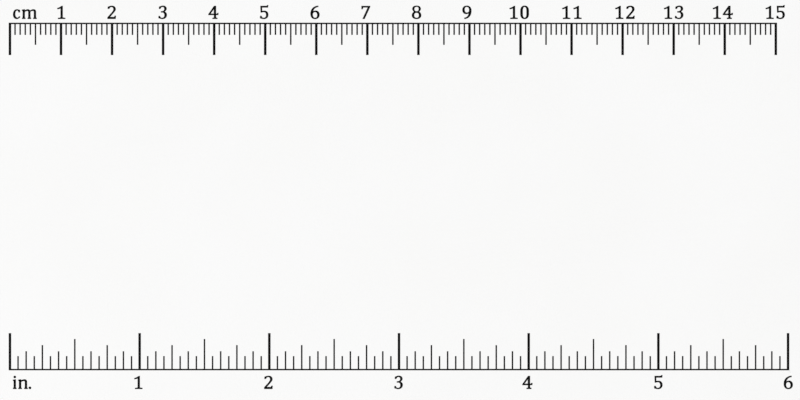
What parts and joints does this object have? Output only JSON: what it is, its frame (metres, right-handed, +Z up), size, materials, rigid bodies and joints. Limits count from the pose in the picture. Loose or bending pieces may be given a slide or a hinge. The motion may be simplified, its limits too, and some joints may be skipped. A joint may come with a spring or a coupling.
{
  "type": "ruler",
  "caption": "Flat white ruler plate with an engraved metric scale along one long edge and an inch scale along the other, lines pointing inwards, on round rubber feet.",
  "frame": {"origin": "middle of the plate, on the surface that the feet stand on", "axes": "+X along both scales from their zero to their far end, +Y from the inch scale to the metric scale, +Z up, out of the face that is read"},
  "size_m": [0.16, 0.082, 0.004],
  "materials": {
    "white_plastic": "white, even satin face, slightly finer sheen on the rounded edges",
    "black_paint": "matt black engraving paint, a little below the face",
    "black_rubber": "moulded black rubber, matt",
    "clear_adhesive": "translucent pale adhesive disc"
  },
  "bodies": {
    "root": {"plate": "white_plastic", "metric_baseline": "black_paint", "centimetre_lines": "black_paint", "half_centimetre_lines": "black_paint", "millimetre_lines": "black_paint", "inch_baseline": "black_paint", "inch_lines": "black_paint", "half_inch_lines": "black_paint", "quarter_inch_lines": "black_paint", "eighth_inch_lines": "black_paint", "sixteenth_inch_lines": "black_paint", "foot_front_left": "black_rubber", "foot_front_right": "black_rubber", "foot_rear_left": "black_rubber", "foot_rear_right": "black_rubber", "adhesive_front_left": "clear_adhesive", "adhesive_front_right": "clear_adhesive", "adhesive_rear_left": "clear_adhesive", "adhesive_rear_right": "clear_adhesive"}
  },
  "joints": []
}
